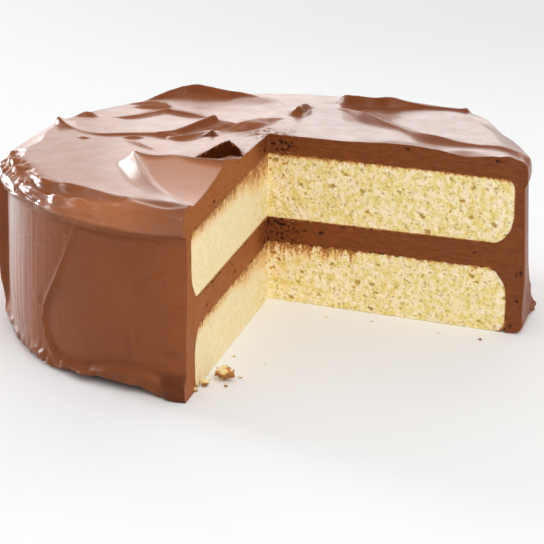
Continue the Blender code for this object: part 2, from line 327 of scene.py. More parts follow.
def crumb_relief(side, reach, level, frosted, below, drag_at_tip, drag_beyond):
    """The torn, porous face of the cut sponge: how far in each place lies, how open it is, and
    how much frosting the knife dragged over it. frosted is the distance to any frosting, and
    below the distance to the frosting above, which the knife dragged down by these lengths."""
    seed = 40 + 10 * side
    warp_x = reach + 0.8 * lumps(seed, 1.7, reach, level)
    warp_y = level + 0.8 * lumps(seed + 1, 1.7, reach, level)
    fine = holes(seed + 2, 1.4, (0.2, 0.55), 0.7, warp_x, warp_y)
    middling = holes(seed + 3, 3.4, (0.4, 0.9), 0.5, warp_x, warp_y * 1.25)
    large = holes(seed + 4, 10.0, (0.8, 1.7), 0.5, warp_x, warp_y * 1.6)
    grain = 0.16 * lumps(seed + 5, 0.8, reach, level) + 0.14 * lumps(seed + 6, 2.2, reach, level)
    few = 1.0 if side > 0 else 0.4 + 0.6 * ease(1.4 - reach / 22)
    open_pores = np.maximum(np.maximum(few * fine, few * middling), large * (side > 0))
    torn = 0.75 if side > 0 else 0.34 + 0.4 * ease(1.6 - reach / 14)
    drag = drag_beyond + (drag_at_tip - drag_beyond) * ease(2.0 - reach / 28)
    wide = 1.0 if side > 0 else 6.0
    uneven = lumps(seed + 7, 3.1 * wide, reach, level / 7)
    uneven = uneven + 0.6 * lumps(seed + 8, 1.1 * wide, reach, level / 4)
    uneven = uneven if side > 0 else 0.3 * uneven
    drag = np.maximum(drag * (0.9 + uneven), 0.3)
    down = np.clip(1 - below / drag, 0, 1)
    down = ease(down) if side > 0 else down**1.2
    mottled = 0.8 if side > 0 else 0.25
    down = down * (0.9 + mottled * lumps(seed + 9, 0.9 * wide, reach, level))
    if side < 0:
        down = down * (1 + 0.6 * lumps(seed + 11, 1.8, reach, level))
    flecks = ease(2.2 * lumps(seed + 10, 2.2, reach, level) - 0.4) * ease(1.5 - reach / 12)
    flecks = flecks * ease(1.6 - below / 12)
    down = np.maximum(down, flecks)
    smear = np.clip(np.maximum(down, ease(1.15 - frosted / (0.8 if side > 0 else 1.7) + 0.7 * grain)), 0, 1)
    inward = BEHIND_FROSTING + torn * (open_pores + grain) * (1 - 0.5 * smear)
    return inward, {"open": open_pores, "smear": smear, "torn": 0 * reach + torn}


def lower_relief(side, reach, level, out, up):
    side_gap = np.where(out > 0, reach / np.maximum(out, 1e-3) - reach, 99)
    top_gap = (1 - up) * FILLING_BOTTOM_LEVEL
    drags = (9.0, 2.5) if side > 0 else (14.0, 8.0)
    frosted = np.minimum(side_gap - UNDER_FROSTING, top_gap)
    return crumb_relief(side, reach, level, frosted, top_gap, *drags)


def wire(material, start, finish):
    material.node_tree.links.new(start, finish)


def node(material, kind, **inputs):
    """A shader node with these inputs set, named with _ for each space."""
    made = material.node_tree.nodes.new(kind)
    for name, value in inputs.items():
        made.inputs[name.replace("_", " ")].default_value = value
    return made


def spread(material, factor, *stops):
    """A colour that changes with the factor, through stops of (position, colour)."""
    ramp = node(material, "ShaderNodeValToRGB")
    for position, colour in stops[2:]:
        ramp.color_ramp.elements.new(position)
    for element, (position, colour) in zip(ramp.color_ramp.elements, stops):
        element.position = position
        element.color = (*colour, 1)
    wire(material, factor, ramp.inputs["Fac"])
    return ramp.outputs["Color"]


def mixed(material, factor, first, second):
    """A mix of two colours, each a colour or an output."""
    mix = material.node_tree.nodes.new("ShaderNodeMix")
    mix.data_type = "RGBA"
    wire(material, factor, mix.inputs["Factor"])
    for slot, colour in (("A", first), ("B", second)):
        socket = next(s for s in mix.inputs if s.name == slot and s.type == "RGBA")
        if isinstance(colour, tuple):
            socket.default_value = (*colour, 1)
        else:
            wire(material, colour, socket)
    return next(s for s in mix.outputs if s.type == "RGBA")


def grain_of(material, size, detail=3.0, stretch=(1, 1, 1)):
    """Noise in lumps of this size in millimetres, fixed to the cake."""
    where = node(material, "ShaderNodeTexCoord")
    turn = node(material, "ShaderNodeMapping", Scale=stretch)
    noise = node(material, "ShaderNodeTexNoise", Scale=1 / (size * MM), Detail=detail)
    wire(material, where.outputs["Object"], turn.inputs["Vector"])
    wire(material, turn.outputs["Vector"], noise.inputs["Vector"])
    return noise.outputs["Fac"]


def mark_of(material, name):
    """A value that the mesh carries at each point."""
    mark = node(material, "ShaderNodeAttribute")
    mark.attribute_name = name
    return mark.outputs["Fac"]


def butter_sponge(name, pale, cream, gold, smooth):
    """Baked sponge: pale crumb, blotched from pinkish cream to yellow, and brown where frosting was dragged over
    it. Its pores are painted shade: small dark dots where it tore, fainter but still there where the knife left
    it smooth, and deeper gold in its holes. Where the knife left it smooth its colour is plainer and paler,
    partly its smoother crumb and partly painted light on the left cut face."""
    material = bpy.data.materials.new(name)
    material.use_nodes = True
    shader = material.node_tree.nodes["Principled BSDF"]
    blotches = spread(
        material, grain_of(material, 3.0, 6.0), (0.36, gold), (0.50, cream), (0.62, pale))
    # Dark dots: painted shade of pores too small to model.
    painted_pore_dots = spread(
        material, grain_of(material, 1.2, 3.0), (0.32, (1, 1, 1)), (0.41, (0, 0, 0)))
    rough = node(material, "ShaderNodeMapRange", From_Min=0.1, From_Max=0.75)
    wire(material, mark_of(material, "torn"), rough.inputs["Value"])
    # Where the knife left the crumb smooth it takes a plainer, paler colour: partly smoother crumb, partly
    # painted light on the left cut face.
    blotches = mixed(material, rough.outputs["Result"], smooth, blotches)
    dotting = node(material, "ShaderNodeMath")
    dotting.operation = "MULTIPLY"
    wire(material, painted_pore_dots, dotting.inputs[0])
    wire(material, rough.outputs["Result"], dotting.inputs[1])
    dotted = mixed(material, dotting.outputs["Value"], blotches, (0.55, 0.40, 0.13))
    # Deeper gold in the holes: painted shade in the pores.
    painted_hole_shade = spread(material, mark_of(material, "open"), (0.15, (0, 0, 0)), (0.95, (1, 1, 1)))
    pores = mixed(material, painted_hole_shade, dotted, (0.58, 0.40, 0.11))
    film = spread(material, mark_of(material, "smear"), (0.04, (0, 0, 0)), (0.6, (0.95, 0.95, 0.95)))
    butter = spread(
        material, mark_of(material, "smear"), (0.3, (0.80, 0.42, 0.12)), (0.85, (0.34, 0.115, 0.024)))
    smeared = mixed(material, film, pores, butter)
    wire(material, smeared, shader.inputs["Base Color"])
    shader.inputs["Roughness"].default_value = 0.85
    shader.inputs["Specular IOR Level"].default_value = 0.25
    shader.inputs["Subsurface Weight"].default_value = 0.15
    shader.inputs["Subsurface Radius"].default_value = (1.0, 0.55, 0.22)
    shader.inputs["Subsurface Scale"].default_value = 1.2 * MM
    bump = node(material, "ShaderNodeBump", Strength=0.5, Distance=0.3 * MM)
    wire(material, grain_of(material, 0.6, 3.0), bump.inputs["Height"])
    wire(material, bump.outputs["Normal"], shader.inputs["Normal"])
    return material


# The last colour is the smooth crumb's, paler partly as painted light.
sponge = butter_sponge(
    "butter_sponge", (0.95, 0.82, 0.60), (0.90, 0.76, 0.42), (0.80, 0.65, 0.22),
    (0.93, 0.79, 0.50))
lower = layer_piece("sponge_lower", lower_outline, lower_relief, CRUMB_COLUMNS, CRUMB_ROWS, [sponge])
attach(lower, "root")
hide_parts("lower_layer")


# ---------------------------------------------------------------- filling
# A band of chocolate frosting between the layers, spread out to the side. It widens between the
# layers' domed edges. The knife drew fine level lines across it and opened a few air holes.

UPPER_CENTRE = (2.4, 1.4)
FILLING_TOP_LEVEL = 39.6
END_INSET = 1.0
FILLING_COLUMNS = 168
FILLING_ROWS = 30


def upper_side(angle):
    return reach_to_circle(angle, SPONGE_RADIUS, UPPER_CENTRE)


def ragged_edge(seed, along):
    """Where frosting meets torn crumb at a cut, the line wanders by up to about half a
    millimetre."""
    return 0.9 * lumps(seed, 1.0, along / 3.1, along / 90) + 0.6 * lumps(seed + 1, 1.0, along / 1.2, along / 70)


def filling_outline(angle, out, up):
    end = (1 - up) * lower_side(angle) + up * upper_side(angle) - END_INSET
    reach = out * end
    low = leaning(FILLING_BOTTOM_LEVEL, angle, reach) - dome_up(lower_side(angle) - reach)
    high = leaning(FILLING_TOP_LEVEL, angle, reach) + dome_up(upper_side(angle) - reach)
    along = reach + 40 * angle
    low = low + ragged_edge(61, along) * ease((1 - out) * 20)
    high = high + ragged_edge(63, along) * ease((1 - out) * 20)
    return reach, low + (high - low) * up


def knife_lines(side, reach, level):
    """What a knife leaves on cut frosting: level lines, air holes drawn out along them, and a torn patch at the
    cake's middle. Gives how far in they lie, the holes' depth, and the share of painted light on the left cut
    face, which fades near the middle and leaves it darker there."""
    seed = 80 + 10 * side
    lines = 0.20 * lumps(seed, 1.0, reach / 11, level / 1.3)
    lines = lines + 0.12 * lumps(seed + 1, 1.0, reach / 4, level / 0.6)
    wander = 0.5 * lumps(seed + 3, 2, reach, level)
    air = holes(seed + 2, 5.5, (0.35, 0.9), 0.35, reach / 1.9 + wander, level + 0.3 * wander)
    tears = holes(seed + 4, 1.8, (0.4, 1.0), 0.75, reach + wander, level + wander)
    deep = np.maximum(air, tears * ease(1.7 - reach / 12))
    # painted_lit_side: painted light on the left cut face, fading out near the cake's middle.
    marks = {"open": deep, "painted_lit_side": (side < 0) * ease((reach - 6) / 26)}
    return 0.12 + lines + 0.8 * deep, marks


def filling_relief(side, reach, level, out, up):
    edges = ease((1 - out) * 12) * ease(up * 8) * ease((1 - up) * 8)
    inward, marks = knife_lines(side, reach, level)
    return inward * edges, marks


def frosting_shader(material, roughness, gloss, streak):
    """The body of buttercream with cocoa in it: soft and smooth. streak is how much the blade's
    fine lines show."""
    shader = material.node_tree.nodes["Principled BSDF"]
    dull = node(
        material, "ShaderNodeMapRange", From_Min=0.3, From_Max=0.7, To_Min=roughness - 0.05,
        To_Max=roughness + 0.06)
    wire(material, grain_of(material, 9), dull.inputs["Value"])
    wire(material, dull.outputs["Result"], shader.inputs["Roughness"])
    shader.inputs["Specular IOR Level"].default_value = gloss
    shader.inputs["Subsurface Weight"].default_value = 0.12
    shader.inputs["Subsurface Radius"].default_value = (1.0, 0.4, 0.2)
    shader.inputs["Subsurface Scale"].default_value = 1.2 * MM
    bump = node(material, "ShaderNodeBump", Strength=streak, Distance=0.2 * MM)
    wire(material, grain_of(material, 1.2, 3.0), bump.inputs["Height"])
    wire(material, bump.outputs["Normal"], shader.inputs["Normal"])
    return shader


def sliced_frosting(name, dark, light, hole_shade, painted_lit_side):
    """Frosting that a knife went through: dull, with level lines and mottling. Its air holes are painted darkest,
    as painted shade, and its left cut face is painted lighter and more orange, as painted light."""
    material = bpy.data.materials.new(name)
    material.use_nodes = True
    shader = frosting_shader(material, 0.55, 0.2, 0.4)
    lines = grain_of(material, 1.0, 4.0, (0.22, 0.22, 1))
    tone = spread(material, lines, (0.34, dark), (0.66, light))
    # Painted light: the left cut face is painted lighter and more orange.
    tone = mixed(material, mark_of(material, "painted_lit_side"), tone, painted_lit_side)
    # Painted shade in the air holes.
    painted_hole_shade = spread(material, mark_of(material, "open"), (0.1, (0, 0, 0)), (0.6, (1, 1, 1)))
    wire(material, mixed(material, painted_hole_shade, tone, hole_shade), shader.inputs["Base Color"])
    return material


# Dark, light, the air holes' painted shade, and the left cut face's painted light.
cut_frosting = sliced_frosting(
    "cut_frosting", (0.165, 0.042, 0.009), (0.225, 0.062, 0.0145), (0.05, 0.012, 0.003),
    (0.33, 0.095, 0.02))
filling = layer_piece("frosting_filling", filling_outline, filling_relief, FILLING_COLUMNS, FILLING_ROWS, [cut_frosting])
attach(filling, "root")
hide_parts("filling")


# ---------------------------------------------------------------- upper layer
# The top sponge layer, the same butter cake, laid with its domed side down. It sits a little to
# the right of the lower one.

UPPER_TOP_LEVEL = 69.3
UPPER_THICK = UPPER_TOP_LEVEL - FILLING_TOP_LEVEL
CROWN = 1.5


def crown(reach):
    """How far the layer's top still domes up in its middle."""
    return CROWN * (1 - np.clip(reach / SPONGE_RADIUS, 0, 1) ** 2)


def upper_outline(angle, out, up):
    grown = UPPER_THICK + 2 * UNDER_FROSTING
    rise = up * grown
    side = upper_side(angle) + UNDER_FROSTING
    reach = out * (side - edge_inset(rise, grown - rise))
    level = leaning(FILLING_TOP_LEVEL - UNDER_FROSTING + rise, angle, reach)
    return reach, level + up * crown(reach)


def upper_relief(side, reach, level, out, up):
    grown = UPPER_THICK + 2 * UNDER_FROSTING
    side_gap = np.where(out > 0, reach / np.maximum(out, 1e-3) - reach, 99)
    frosted = np.minimum(side_gap, np.minimum(up, 1 - up) * grown) - UNDER_FROSTING
    below = (1 - up) * grown - UNDER_FROSTING
    drags = (3.0, 2.2) if side > 0 else (17.0, 10.0)
    return crumb_relief(side, reach, level + 150, frosted, below, *drags)


upper = layer_piece("sponge_upper", upper_outline, upper_relief, CRUMB_COLUMNS, CRUMB_ROWS, [sponge])
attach(upper, "root")
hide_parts("upper_layer")


# ---------------------------------------------------------------- coat
# Soft chocolate frosting over the top and the side, in one coat. The top is swirled with the back
# of a spoon, which leaves curved crests with a steep side and shallow basins. The side is drawn
# smooth with a spatula that pushes a lip up at the rim and leaves a ragged foot.

SIDE_RADIUS = 118.5
TOP_LEVEL = 79.5
LIP_LOW_LEVEL = 68.0
LIP_TUCK = 2.8

# How far the top has rounded down where it reaches the side, and the radius at which it starts
# to, by degrees round
EDGE_DROPS = (
    (-8, 0.8, 108), (3, 2.0, 105), (18, 6.5, 104), (32, 6.5, 105), (44, 1.5, 108), (54, 0.8, 108),
    (90, 3.5, 104), (130, 5.0, 104), (168, 6.0, 104), (182, 8.5, 103), (197, 9.5, 101),
    (207, 6.0, 107), (217, 4.2, 110), (226, 3.8, 110), (240, 4.4, 110), (250, 4.2, 111),
    (262, 2.8, 112), (274, 3.4, 111),
)

# Each stroke of the spoon leaves a crest. It runs through points of x, y and height. On the
# left of its path a steep face drops from it, past the old level by a share of that height,
# and the hollow below eases back up. On its right it eases down. It leans over the hollow.
#   path, face width, back width, hollow width, share dug out, lean
BACK_SWIRL = (
    ((-31, 85, 0.3), (-40, 85, 2.0), (-51, 84, 4.6), (-60, 84, 6.1), (-67, 84, 6.3), (-73, 81, 5.7), (-79, 74, 3.4), (-84, 64, 0.5)),
    4.0, 10.0, 26.0, -0.12, 1.3,
)
BACK_TAIL = (
    ((-1, 48, 0.2), (-7, 60, 0.4), (-18, 78, 0.8), (-29, 84, 1.4), (-38, 85, 1.4), (-46, 85, 0.3)),
    14.0, 8.0, 26.0, 0.0, 0.0,
)
BACK_KNOB = (((-1, 77, 0.3), (-2, 72, 2.4), (-2, 65, 3.8), (-2, 58, 4.4), (-3, 55, 2.6), (-4, 52, 0.3)), 2.2, 5.0, 7.0, 0.3, 0.8)
RIGHT_BACK_CREST = (
    ((80, 87, 2.4), (76, 88, 2.6), (72, 87, 1.6), (65, 88, 1.4), (58, 88, 1.7), (52, 88, 2.4),
     (45, 87, 3.9), (38, 84, 6.1), (31, 84, 5.4), (24, 83, 5.9), (18, 84, 6.0), (14, 87, 4.6),
     (12, 92, 0.8)),
    3.2, 8.0, 22.0, -0.12, 1.2,
)
RIGHT_CREST = (
    ((119, -2, 1.8), (115, 7, 1.8), (109, 13, 1.4), (101, 16.5, 1.0), (94, 17, 0.9), (84, 18.5, 1.4),
     (76, 22, 2.2), (70, 25, 2.3), (64, 29, 1.8), (58, 35, 1.2), (51, 42, 1.2), (43, 49, 1.7),
     (36, 56, 2.4), (30, 61, 2.5), (22, 69, 1.2), (15, 75, 0.3)),
    2.8, 8.0, 16.0, 0.2, 1.0,
)
CUT_FOLD = (((116, -2, 0.6), (110, -3, 1.5), (108, -4, 2.1), (105, -6, 1.9), (102, -7.5, 1.0), (98, -8, 0.2)), 4.0, 3.0, 6.0, 0.1, 0.6)
TIP_WEDGE = (
    ((-35, 34, 0.3), (-36, 30, 3.4), (-38, 23, 3.3), (-40, 17, 2.9), (-41, 13, 2.5), (-43, 6, 2.0),
     (-46, 0, 1.3), (-50, -3, 0.5)),
    2.8, 6.0, 14.0, 0.4, 1.2,
)
UNDER_WEDGE = (((-31, 12, 0.4), (-33, 3, 1.5), (-35, -5, 1.7), (-38, -9, 1.5), (-43, -8, 0.9), (-46, -3, 0.2)), 2.6, 7.0, 7.0, 0.3, 0.6)
LONG_CREST = (
    ((-41, 0, 0.3), (-47, -3, 1.2), (-55, -5, 0.9), (-63, -8, 0.8), (-74, -12, 0.7), (-83, -10, 0.5),
     (-92, -4, 0.6), (-98, 0, 1.5), (-104, 6, 3.1), (-107, 13, 1.0)),
    2.2, 8.0, 12.0, 0.25, 0.8,
)
SHORT_CREST = (((-66, 55, 0.3), (-69, 56, 1.6), (-72, 55, 1.7), (-77, 53, 1.3), (-81, 51, 0.9), (-84, 49, 0.2)), 1.8, 3.0, 9.0, 0.1, 0.8)
THIN_CREST = (
    ((-42, 38, 0.4), (-50, 41, 1.2), (-58, 44, 1.3), (-65, 47, 1.2), (-69, 42, 1.1), (-73, 33, 1.0),
     (-78, 27, 0.8), (-83, 25, 0.2)),
    1.8, 6.0, 8.0, 0.3, 0.6,
)
TIP_CREST = (((-7, 45, 0.4), (-11, 39, 1.4), (-14, 32, 2.4), (-17, 25, 2.9), (-20, 20, 2.8), (-23, 15, 0.8)), 4.0, 5.0, 9.0, 0.3, 0.8)
TIP_LINE = (((-10, 33, 0.3), (-13, 27, 1.0), (-16, 22, 1.1), (-19, 18, 0.3)), 1.5, 3.0, 3.0, 0.1, 0.5)
CURL = (((-21, 21, 0.4), (-24, 21, 2.4), (-27, 20, 2.8), (-29, 18, 2.2), (-31, 14, 0.4)), 1.6, 4.0, 5.0, 0.4, 1.6)
SECOND_CURL = (((-24, 2, 0.4), (-26, 4, 2.2), (-28, 4, 2.2), (-30, 0, 0.4)), 1.5, 3.0, 4.0, 0.4, 1.2)
TORN_FLAP = (
    ((-2, -29, 0.3), (-5, -25, 2.6), (-8, -24, 4.2), (-10, -25, 5.0), (-12, -28, 4.7), (-14, -32, 3.6),
     (-16, -37, 2.4), (-19, -41, 0.4)),
    2.4, 8.0, 8.0, 0.9, 1.2,
)
LEFT_SPOT = (((-92, 23, 0.3), (-96, 26, 1.6), (-100, 26, 1.6), (-103, 21, 0.3)), 1.6, 4.0, 5.0, 0.3, 0.8)
SLIVER = (((-72, 62, 0.4), (-80, 60, 1.2), (-88, 56, 0.4)), 2.0, 5.0, 5.0, 0.2, 0.5)
FIRST_NICK = (((-77, -20, 0.2), (-80, -21, 0.9), (-83, -20, 0.2)), 1.2, 2.5, 2.5, 0.4, 0.4)
SECOND_NICK = (((-54, -12, 0.2), (-57, -14, 1.1), (-60, -15, 0.9), (-63, -15, 0.2)), 1.2, 3.0, 3.0, 0.5, 0.4)
THIN_TRAIL = (((-59, -21, 0.4), (-54, -24, 1.0), (-49, -28, 1.1), (-42, -33, 0.4)), 1.4, 2.2, 2.0, 0.1, 0.2)
RIGHT_SWELL = (((44, 2, 0.8), (54, 1, 1.7), (66, 0, 1.7), (76, -1, 0.8)), 14.0, 12.0, 15.0, 0.0, 0.0)
RIGHT_DIP = (((84, 0, -0.6), (91, -1, -1.4), (98, -2, -0.6)), 8.0, 7.0, 9.0, 0.0, 0.0)
PLATEAU_EDGE = (
    ((-24, -111, 0.2), (-30, -109, 0.6), (-37, -105.5, 0.8), (-46, -101, 0.9), (-56, -97, 1.1),
     (-64, -93.5, 1.2), (-71, -88, 1.1), (-78, -81, 0.3)),
    1.3, 5.0, 9.0, 1.9, 1.0,
)
RIM_ROLL = (
    ((-24, -115.5, 0.3), (-31, -114, 1.6), (-37, -112, 0.9), (-43, -110.5, 1.9), (-49, -108, 0.9),
     (-55, -104.5, 2.1), (-61, -101.5, 1.1), (-68, -96.5, 2.1), (-75, -91, 1.3), (-82, -85, 0.6)),
    1.4, 5.0, 3.4, 0.25, 0.9,
)
FRONT_LOBE = (((-24, -109, 0.2), (-20, -114, 0.9), (-13, -117, 1.3), (-4, -118.5, 1.4), (3, -116, 0.6)), 3.0, 5.0, 8.0, 0.1, 0.6)
TORN_BITS = tuple(
    (((x, y, 0.3), (x + dx / 2, y + dy / 2, h), (x + dx, y + dy, 0.2)), face, 2.2 * face, 3.2, 0.4, 0.8)
    for x, y, dx, dy, h, face in (
        (-84, -78, -6, 6, 1.8, 1.4), (-90, -70, -5, 8, 1.9, 1.5), (-96, -63, -4, 9, 2.0, 1.3),
        (-101, -52, -3, 10, 1.6, 1.5), (-62, -95, -9, 5, 1.0, 1.2), (-47, -101, -10, 4, 1.0, 1.2),
        (-72, -91, -7, 6, 1.3, 1.2), (-40, -110, -9, 3, 1.0, 1.2), (-104, -40, -1, 9, 1.3, 1.4),
        (-97, -56, 2, -7, 1.4, 1.0),
    )
)
CRESTS = (
    BACK_SWIRL, BACK_KNOB, RIGHT_BACK_CREST, TIP_WEDGE, UNDER_WEDGE, LONG_CREST, THIN_CREST, PLATEAU_EDGE,
)
STROKES = (
    BACK_SWIRL, BACK_TAIL, BACK_KNOB, RIGHT_BACK_CREST, RIGHT_CREST, CUT_FOLD, TIP_WEDGE,
    UNDER_WEDGE, LONG_CREST, SHORT_CREST, THIN_CREST, TIP_CREST, TIP_LINE, CURL, SECOND_CURL, TORN_FLAP,
    LEFT_SPOT, SLIVER, FIRST_NICK, SECOND_NICK, THIN_TRAIL, RIGHT_SWELL, RIGHT_DIP,
    PLATEAU_EDGE, RIM_ROLL, FRONT_LOBE, *TORN_BITS,
)

# The big scoop at the left cut: its crest runs through points of x, y and level, with the
# hollow on the left of the path. The hollow slopes from the back crest to the rim.
FRONT_SCOOP = (
    (8, -61, 84.8), (-2, -60, 84.8), (-13, -58, 84.5), (-22, -55, 84.3), (-31, -58, 84.2),
    (-42, -56, 84.8), (-36, -68, 83.8), (-26, -84, 82.0), (-15, -97, 80.2), (-4, -106, 78.9),
    (8, -113, 78.0),
)
SCOOP_BACK_Y = -57.0
SCOOP_BACK_LEVEL = 84.2
SCOOP_SLOPE = 0.27
SCOOP_CURVE = 0.0024
SCOOP_INNER_WIDTH = 5.5
SCOOP_OUTER_WIDTH = 6.5
SCOOP_LEAN = 1.0

# Ridges that the spatula left on the side, through points of degrees round, level and height.
# The steep side is on the left of the path, seen from outside with the foot down.
SPATULA_RIDGE = (
    ((-112, 68, 0.3), (-115, 56, 0.9), (-118.5, 42, 1.2), (-122.5, 28, 1.4), (-123, 17, 1.3),
     (-121, 9, 1.4), (-116, 5, 1.5), (-109, 4, 1.6)),
    1.0, 1.5, 6.0, 0.25, 0.3,
)
BOTTOM_RIDGE = (
    ((-112, 4, 1.5), (-107, 7, 2.0), (-102, 9, 2.2), (-97, 9, 1.9), (-93, 6, 1.3), (-89, 3, 0.4)),
    1.6, 3.6, 6.0, 0.6, 0.8,
)
HOOK = (((-127, 31, 0.2), (-126.3, 28.5, 1.3), (-125, 29, 1.0), (-124.4, 32, 0.1)), 0.9, 1.3, 3.0, 0.2, 0.0)
SHORT_ARC = (((-98, 45, 1.3), (-95, 49, 1.2), (-91, 52, 1.0), (-88, 53, 0.2)), 1.1, 3.0, 5.0, 0.4, 0.2)
UPPER_ARC = (((-92.5, 65, 0.2), (-93.6, 61, 1.0), (-94.8, 57, 0.2)), 1.0, 2.4, 4.0, 0.2, 0.0)
UPRIGHT_ARC = (
    ((-100.5, 31, 0.3), (-99.4, 25, 1.2), (-99, 18, 1.2), (-99.3, 12, 0.4)),
    0.9, 1.8, 4.0, 0.3, 0.2,
)
LIP_THREAD = (
    ((-119, 67.3, 0.4), (-128, 68.3, 1.0), (-140, 69.3, 1.1), (-153, 70.5, 0.6)),
    1.0, 1.4, 2.5, 0.2, 0.0,
)
UPPER_FOLD = (
    ((-134, 72.5, 0.2), (-126, 71.6, 0.9), (-117, 70.8, 1.1), (-108, 70.2, 0.9), (-99, 70.4, 0.2)),
    0.9, 1.6, 2.6, 0.5, 0.3,
)
LOWER_FOLD = (
    ((-124, 65.0, 0.2), (-116, 64.0, 0.9), (-106, 63.6, 1.1), (-97, 63.8, 0.9), (-89, 64.4, 0.3)),
    0.9, 1.8, 3.0, 0.4, 0.2,
)
CORNER_CREASE = (((-94, 18, 0.3), (-92, 19, -1.4), (-90, 19, -1.2), (-88.6, 20, 0.2)), 0.8, 1.0, 2.0, 0.0, 0.0)
LEFT_SEAM = (
    ((-156.5, 71, 1.6), (-156.5, 60, 3.0), (-156, 40, 3.2), (-155.5, 22, 2.6), (-155, 6, 0.6)),
    2.0, 12.0, 22.0, 0.45, 0.0,
)
SIDE_RIDGES = (
    SPATULA_RIDGE, BOTTOM_RIDGE, HOOK, SHORT_ARC, UPPER_ARC, UPRIGHT_ARC, LIP_THREAD, UPPER_FOLD,
    LOWER_FOLD, CORNER_CREASE, LEFT_SEAM,
)

COAT_COLUMNS = 528
TOP_BANDS = ((0.0, 0.25, 36, 4), (0.25, 0.50, 36, 2), (0.50, 1.0, 70, 1))
RIM_STEPS = (3, 4, 5, 3, 3)
WALL_STEPS = (7, 9, 9, 9, 7, 4)
COAT_THROUGH = 24


def curve_through(points, steps):
    """A smooth line (Catmull-Rom) through the points, with these steps to each span."""
    points = np.asarray(points, float)
    ends = np.concatenate([2 * points[:1] - points[1:2], points, 2 * points[-1:] - points[-2:-1]])
    line = []
    for a, b, c, d, count in zip(ends, ends[1:], ends[2:], ends[3:], steps):
        for t in np.arange(count) / count:
            line.append(0.5 * (2 * b + (c - a) * t + (2 * a - 5 * b + 4 * c - d) * t**2
                               + (3 * b - a - 3 * c + d) * t**3))
    return np.array(line + [points[-1]])


def nearest_on(path, x, y):
    """For each x, y: the distance to the path, how far to its left it lies from -1 to 1, the
    path's third value there, and the direction to its left."""
    line = curve_through(path, [8] * (len(path) - 1))
    start, step = line[:-1], np.diff(line, axis=0)
    dx, dy = x[:, None] - start[:, 0], y[:, None] - start[:, 1]
    length2 = step[:, 0] ** 2 + step[:, 1] ** 2
    t = np.clip((dx * step[:, 0] + dy * step[:, 1]) / length2, 0, 1)
    away_x, away_y = dx - t * step[:, 0], dy - t * step[:, 1]
    apart = np.hypot(away_x, away_y)
    pick = np.argmin(apart, axis=1)
    rows = np.arange(len(x))
    distance = apart[rows, pick]
    length = np.sqrt(length2[pick])
    cross = step[pick, 0] * away_y[rows, pick] - step[pick, 1] * away_x[rows, pick]
    side = cross / (length * np.maximum(distance, 1e-6))
    value = start[pick, 2] + t[rows, pick] * step[pick, 2]
    return distance, side, value, (-step[pick, 1] / length, step[pick, 0] / length)


def stroke_shape(x, y, path, face, back, hollow, dug, lean):
    """How far one stroke raises the frosting at each place, and how far it pushes it sideways.
    Where the crest is low, its face and back are narrower too."""
    rise, push_x, push_y = np.zeros((3, *x.shape))
    points = np.array(path)
    margin = max(hollow, back)
    low, high = points.min(0) - margin, points.max(0) + margin
    close = (x > low[0]) & (x < high[0]) & (y > low[1]) & (y < high[1])
    distance, side, crest, to_left = nearest_on(path, x[close], y[close])
    strength = np.clip(np.abs(crest) / np.abs(points[:, 2]).max(), 0, 1)
    narrow = 0.35 + 0.65 * strength
    rounded = np.hypot(distance, 0.7) - 0.7
    falling = np.clip(1 - rounded / (face * narrow), 0, 1) ** 1.25
    apron = 1 - ease((distance - face * narrow) / (hollow - face * narrow))
    steep = crest * ((1 + dug) * falling - dug * apron)
    easing = np.clip(1 - distance / (back * narrow), 0, 1) ** 1.7
    left = 0.5 + 0.5 * side
    rise[close] = left * steep + (1 - left) * crest * easing
    over = lean * strength * (left * falling + (1 - left) * easing)
    push_x[close], push_y[close] = over * to_left[0], over * to_left[1]
    return rise, push_x, push_y


def near(value, middle, width):
    """1 at the middle, falling smoothly to nothing about two widths away."""
    return np.exp(-(((value - middle) / width) ** 2))


def scooped(x, y, level):
    """Sinks the big scoop into the frosting and raises its crest."""
    distance, side, crest, to_left = nearest_on(FRONT_SCOOP, x, y)
    down = np.clip(SCOOP_BACK_Y - y, 0, None)
    floor = SCOOP_BACK_LEVEL - SCOOP_SLOPE * down + SCOOP_CURVE * down**2
    within = np.clip(1 - distance / SCOOP_INNER_WIDTH, 0, 1) ** 2
    by_cut = near(x, 4, 9) * (y > -70)
    beyond = np.clip(1 - distance / (SCOOP_OUTER_WIDTH + 24 * by_cut), 0, 1) ** (1.7 - 0.6 * by_cut)
    over = SCOOP_LEAN * np.where(side > 0, within, beyond)
    level = np.where(side > 0, floor + (crest - floor) * within, level + (crest - level) * beyond)
    return level, over * to_left[0], over * to_left[1]


def smooth_between(at, what, value):
    """The value that goes with each place, eased from one given place to the next."""
    pick = np.clip(np.searchsorted(at, value) - 1, 0, len(at) - 2)
    share = ease((value - at[pick]) / (at[pick + 1] - at[pick]))
    return what[pick] + (what[pick + 1] - what[pick]) * share


def degrees_round(x, y):
    """Degrees round the cake's middle, from the right cut to the left one."""
    degrees = np.degrees(np.arctan2(y, x))
    return np.where(degrees < -45, degrees + 360, degrees)


